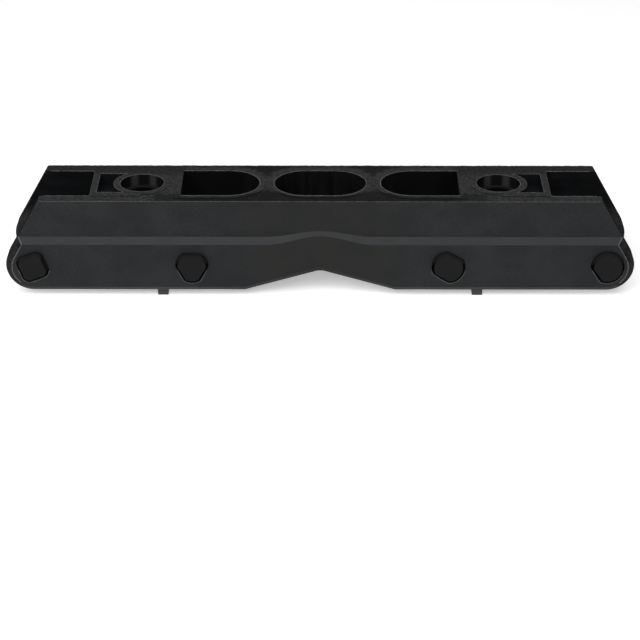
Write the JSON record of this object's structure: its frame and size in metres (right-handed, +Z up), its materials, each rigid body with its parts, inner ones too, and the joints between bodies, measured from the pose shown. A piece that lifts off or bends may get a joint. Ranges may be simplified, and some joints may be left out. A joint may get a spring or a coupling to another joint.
{
  "type": "inline skate frame",
  "caption": "Moulded inline skate frame with two walls, slotted boot-bolt recesses, keyed wheel axles in flanged bushes, a central grind groove and pull-out cross braces.",
  "frame": {"origin": "on the floor, under the middle of the frame", "axes": "+X along the frame to the toe end, +Y to the side with the screw heads, +Z up to the deck"},
  "size_m": [0.2898, 0.0481, 0.0484],
  "materials": {
    "frame_plastic": "fine moulded grain, matte",
    "brace_plastic": "rough moulded, matte",
    "polished_steel": "polished",
    "bush_steel": "turned and polished",
    "black_metal": "black, satin"
  },
  "bodies": {
    "frame": {"frame_body": "frame_plastic", "bush_toe_outer_left": "bush_steel", "bush_toe_outer_right": "bush_steel", "bush_toe_inner_left": "bush_steel", "bush_toe_inner_right": "bush_steel", "bush_heel_inner_left": "bush_steel", "bush_heel_inner_right": "bush_steel", "bush_heel_outer_left": "bush_steel", "bush_heel_outer_right": "bush_steel"},
    "cross_brace_toe": {"cross_brace_toe": "brace_plastic"},
    "cross_brace_heel": {"cross_brace_heel": "brace_plastic"},
    "axle_toe_outer": {"axle_toe_outer": "polished_steel", "key_head_toe_outer": "black_metal"},
    "axle_screw_toe_outer": {"axle_screw_toe_outer": "black_metal"},
    "axle_toe_inner": {"axle_toe_inner": "polished_steel", "key_head_toe_inner": "black_metal"},
    "axle_screw_toe_inner": {"axle_screw_toe_inner": "black_metal"},
    "axle_heel_inner": {"axle_heel_inner": "polished_steel", "key_head_heel_inner": "black_metal"},
    "axle_screw_heel_inner": {"axle_screw_heel_inner": "black_metal"},
    "axle_heel_outer": {"axle_heel_outer": "polished_steel", "key_head_heel_outer": "black_metal"},
    "axle_screw_heel_outer": {"axle_screw_heel_outer": "black_metal"}
  },
  "joints": [
    {"name": "cross_brace_toe_pull", "type": "slide", "parent": "frame", "child": "cross_brace_toe", "axis": [0, 0, -1], "range_m": [0, 0.02]},
    {"name": "cross_brace_heel_pull", "type": "slide", "parent": "frame", "child": "cross_brace_heel", "axis": [0, 0, -1], "range_m": [0, 0.02]},
    {"name": "axle_toe_outer_pull", "type": "slide", "parent": "frame", "child": "axle_toe_outer", "axis": [0, -1, 0], "range_m": [0, 0.042]},
    {"name": "axle_screw_toe_outer_pull", "type": "slide", "parent": "frame", "child": "axle_screw_toe_outer", "axis": [0, 1, 0], "range_m": [0, 0.016]},
    {"name": "axle_toe_inner_pull", "type": "slide", "parent": "frame", "child": "axle_toe_inner", "axis": [0, -1, 0], "range_m": [0, 0.042]},
    {"name": "axle_screw_toe_inner_pull", "type": "slide", "parent": "frame", "child": "axle_screw_toe_inner", "axis": [0, 1, 0], "range_m": [0, 0.016]},
    {"name": "axle_heel_inner_pull", "type": "slide", "parent": "frame", "child": "axle_heel_inner", "axis": [0, -1, 0], "range_m": [0, 0.042]},
    {"name": "axle_screw_heel_inner_pull", "type": "slide", "parent": "frame", "child": "axle_screw_heel_inner", "axis": [0, 1, 0], "range_m": [0, 0.016]},
    {"name": "axle_heel_outer_pull", "type": "slide", "parent": "frame", "child": "axle_heel_outer", "axis": [0, -1, 0], "range_m": [0, 0.042]},
    {"name": "axle_screw_heel_outer_pull", "type": "slide", "parent": "frame", "child": "axle_screw_heel_outer", "axis": [0, 1, 0], "range_m": [0, 0.016]}
  ]
}
